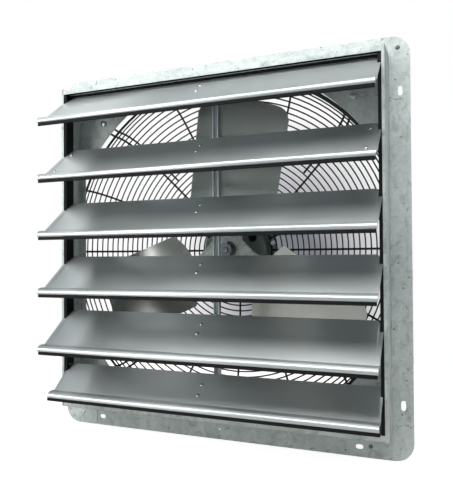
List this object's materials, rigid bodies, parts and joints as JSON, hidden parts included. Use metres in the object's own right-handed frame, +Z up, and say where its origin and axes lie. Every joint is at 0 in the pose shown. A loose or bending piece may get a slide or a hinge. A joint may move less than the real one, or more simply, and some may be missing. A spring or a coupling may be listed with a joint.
{
  "type": "shutter exhaust fan",
  "caption": "Wall exhaust fan: a flanged galvanised box with linked swinging louvres in front of bladed fan, motor and domed wire guard.",
  "frame": {"origin": "on the fan's axis, in the plane of the flange's front face, which lies against the wall", "axes": "+X to the right seen from outside, +Y from the outside into the room, +Z up"},
  "size_m": [0.721, 0.3354, 0.738],
  "materials": {
    "galvanised_steel": "galvanised with fine spangle, semi-matt",
    "louvre_aluminium": "mill finish, semi-gloss",
    "black_rubber": "matt",
    "black_enamel": "satin black coating",
    "blade_metal": "bright rolled sheet",
    "motor_enamel": "dark grey-green, satin",
    "steel": "ground",
    "winding_copper": "enamelled wire",
    "zinc_plate": "zinc plated"
  },
  "bodies": {
    "frame": {"side_channel_left": "galvanised_steel", "side_channel_right": "galvanised_steel", "top_channel": "galvanised_steel", "bottom_channel": "galvanised_steel", "orifice_panel": "galvanised_steel", "bearing_strip_left": "black_rubber", "bearing_strip_right": "black_rubber", "top_seal": "black_rubber", "wire_guard": "black_enamel", "guard_bolt_1": "zinc_plate", "guard_bolt_2": "zinc_plate", "guard_bolt_3": "zinc_plate", "guard_bolt_4": "zinc_plate", "motor_mount": "galvanised_steel", "mount_bolt_1": "zinc_plate", "mount_bolt_2": "zinc_plate", "mount_bolt_3": "zinc_plate", "mount_bolt_4": "zinc_plate", "front_end_bell": "motor_enamel", "motor_shell": "motor_enamel", "rear_end_bell": "motor_enamel", "stator": "winding_copper", "front_bearing": "steel", "rear_bearing": "steel", "capacitor": "black_enamel", "junction_box": "galvanised_steel", "junction_box_lid": "galvanised_steel", "lead_grommet": "black_rubber", "lead_bushing": "black_rubber", "motor_lead": "black_rubber"},
    "fan": {"motor_shaft": "steel", "rotor": "steel", "fan_hub": "steel", "hub_set_screw": "steel", "spider": "galvanised_steel", "blade_1": "blade_metal", "blade_2": "blade_metal", "blade_3": "blade_metal"},
    "louvre_1": {"louvre_1_plate": "louvre_aluminium", "louvre_1_edge_seal": "black_rubber", "louvre_1_bracket": "louvre_aluminium"},
    "louvre_2": {"louvre_2_plate": "louvre_aluminium", "louvre_2_edge_seal": "black_rubber", "louvre_2_bracket": "louvre_aluminium"},
    "louvre_3": {"louvre_3_plate": "louvre_aluminium", "louvre_3_edge_seal": "black_rubber", "louvre_3_bracket": "louvre_aluminium"},
    "louvre_4": {"louvre_4_plate": "louvre_aluminium", "louvre_4_edge_seal": "black_rubber", "louvre_4_bracket": "louvre_aluminium"},
    "louvre_5": {"louvre_5_plate": "louvre_aluminium", "louvre_5_edge_seal": "black_rubber", "louvre_5_bracket": "louvre_aluminium"},
    "louvre_6": {"louvre_6_plate": "louvre_aluminium", "louvre_6_edge_seal": "black_rubber", "louvre_6_bracket": "louvre_aluminium"},
    "tie_bar": {"tie_bar": "louvre_aluminium"}
  },
  "joints": [
    {"name": "fan_spin", "type": "hinge", "parent": "frame", "child": "fan", "pos_m": [0, 0.05, 0], "axis": [0, 1, 0], "continuous": true},
    {"name": "louvre_1_swing", "type": "hinge", "parent": "frame", "child": "louvre_1", "pos_m": [0, -0.0542, 0.2989], "axis": [-1, 0, 0], "range_deg": [-48, 10]},
    {"name": "louvre_2_swing", "type": "hinge", "parent": "frame", "child": "louvre_2", "pos_m": [0, -0.0542, 0.18844], "axis": [-1, 0, 0], "range_deg": [-48, 10]},
    {"name": "louvre_3_swing", "type": "hinge", "parent": "frame", "child": "louvre_3", "pos_m": [0, -0.0542, 0.07798], "axis": [-1, 0, 0], "range_deg": [-48, 10]},
    {"name": "louvre_4_swing", "type": "hinge", "parent": "frame", "child": "louvre_4", "pos_m": [0, -0.0542, -0.03248], "axis": [-1, 0, 0], "range_deg": [-48, 10]},
    {"name": "louvre_5_swing", "type": "hinge", "parent": "frame", "child": "louvre_5", "pos_m": [0, -0.0542, -0.14294], "axis": [-1, 0, 0], "range_deg": [-48, 10]},
    {"name": "louvre_6_swing", "type": "hinge", "parent": "frame", "child": "louvre_6", "pos_m": [0, -0.0542, -0.2534], "axis": [-1, 0, 0], "range_deg": [-48, 10]},
    {"name": "tie_bar_pin", "type": "hinge", "parent": "louvre_1", "child": "tie_bar", "pos_m": [0, -0.016, 0.2929], "axis": [-1, 0, 0], "range_deg": [-10, 48]}
  ],
  "couplings": [
    {"joint": "louvre_2_swing", "follows": "louvre_1_swing", "ratio": 1},
    {"joint": "louvre_3_swing", "follows": "louvre_1_swing", "ratio": 1},
    {"joint": "louvre_4_swing", "follows": "louvre_1_swing", "ratio": 1},
    {"joint": "louvre_5_swing", "follows": "louvre_1_swing", "ratio": 1},
    {"joint": "louvre_6_swing", "follows": "louvre_1_swing", "ratio": 1},
    {"joint": "tie_bar_pin", "follows": "louvre_1_swing", "ratio": -1}
  ]
}
